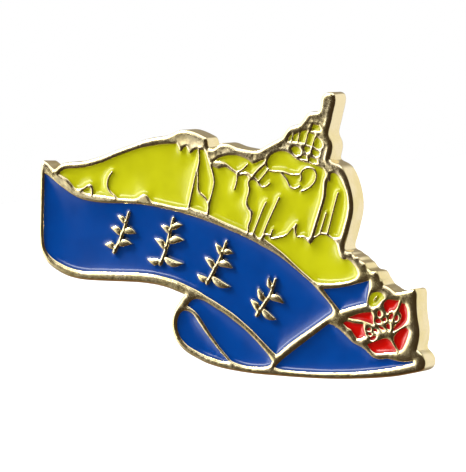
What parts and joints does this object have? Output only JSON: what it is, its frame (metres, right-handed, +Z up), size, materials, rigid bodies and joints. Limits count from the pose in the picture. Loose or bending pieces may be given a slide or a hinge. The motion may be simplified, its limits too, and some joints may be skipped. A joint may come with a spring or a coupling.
{
  "type": "enamel lapel pin",
  "caption": "Enamel lapel pin: gold-plated casting with raised lines and recessed blue, yellow and red enamel, two posts and pull-off butterfly clutches with squeeze wings.",
  "frame": {"origin": "on the flat back face, at the middle of the badge", "axes": "+X to the right and +Z up as the face is seen, +Y out of the back along the posts"},
  "size_m": [0.0405, 0.01, 0.0246],
  "materials": {
    "gold_casting": "polished gold plating, sand-textured in wide areas",
    "blue_enamel": "glossy soft enamel",
    "yellow_enamel": "glossy soft enamel",
    "red_enamel": "glossy soft enamel",
    "gold_post": "plated",
    "solder": "dull tin solder",
    "clutch_brass": "stamped sheet, satin",
    "spring_wire": "drawn wire"
  },
  "bodies": {
    "badge": {"badge_body": "gold_casting", "blue_ribbon": "blue_enamel", "blue_fold_front": "blue_enamel", "blue_fold_back": "blue_enamel", "blue_tail": "blue_enamel", "blue_gap": "blue_enamel", "yellow_hill": "yellow_enamel", "yellow_chip": "yellow_enamel", "yellow_wedge": "yellow_enamel", "yellow_leaf": "yellow_enamel", "yellow_block": "yellow_enamel", "yellow_saddle": "yellow_enamel", "yellow_facet": "yellow_enamel", "yellow_rock": "yellow_enamel", "yellow_cliff": "yellow_enamel", "yellow_foot": "yellow_enamel", "yellow_windows": "yellow_enamel", "yellow_ring": "yellow_enamel", "red_petal_top": "red_enamel", "red_petal_right": "red_enamel", "red_petal_low_right": "red_enamel", "red_petal_bottom": "red_enamel", "red_petal_low_left": "red_enamel", "red_petal_left": "red_enamel", "red_seeds": "red_enamel", "left_post": "gold_post", "left_solder": "solder", "right_post": "gold_post", "right_solder": "solder"},
    "left_clutch": {"left_clutch_disc": "clutch_brass", "left_clutch_cage": "clutch_brass", "left_spring": "spring_wire"},
    "left_wing_a": {"left_wing_a": "clutch_brass"},
    "left_wing_b": {"left_wing_b": "clutch_brass"},
    "right_clutch": {"right_clutch_disc": "clutch_brass", "right_clutch_cage": "clutch_brass", "right_spring": "spring_wire"},
    "right_wing_a": {"right_wing_a": "clutch_brass"},
    "right_wing_b": {"right_wing_b": "clutch_brass"}
  },
  "joints": [
    {"name": "left_clutch_pull", "type": "slide", "parent": "badge", "child": "left_clutch", "axis": [0, 1, 0], "range_m": [0, 0.007]},
    {"name": "right_clutch_pull", "type": "slide", "parent": "badge", "child": "right_clutch", "axis": [0, 1, 0], "range_m": [0, 0.007]},
    {"name": "left_wing_a_squeeze", "type": "hinge", "parent": "left_clutch", "child": "left_wing_a", "pos_m": [-0.0064, 0.00365, 0.001], "axis": [0, 0, 1], "range_deg": [0, 12], "stiffness_Nm_per_rad": 0.0005},
    {"name": "left_wing_b_squeeze", "type": "hinge", "parent": "left_clutch", "child": "left_wing_b", "pos_m": [-0.0116, 0.00365, 0.001], "axis": [0, 0, -1], "range_deg": [0, 12], "stiffness_Nm_per_rad": 0.0005},
    {"name": "right_wing_a_squeeze", "type": "hinge", "parent": "right_clutch", "child": "right_wing_a", "pos_m": [0.004, 0.00365, -0.0076], "axis": [1, 0, 0], "range_deg": [0, 12], "stiffness_Nm_per_rad": 0.0005},
    {"name": "right_wing_b_squeeze", "type": "hinge", "parent": "right_clutch", "child": "right_wing_b", "pos_m": [0.004, 0.00365, -0.0024], "axis": [-1, 0, 0], "range_deg": [0, 12], "stiffness_Nm_per_rad": 0.0005}
  ],
  "couplings": [
    {"joint": "left_wing_b_squeeze", "follows": "left_wing_a_squeeze", "ratio": 1},
    {"joint": "right_wing_b_squeeze", "follows": "right_wing_a_squeeze", "ratio": 1}
  ]
}
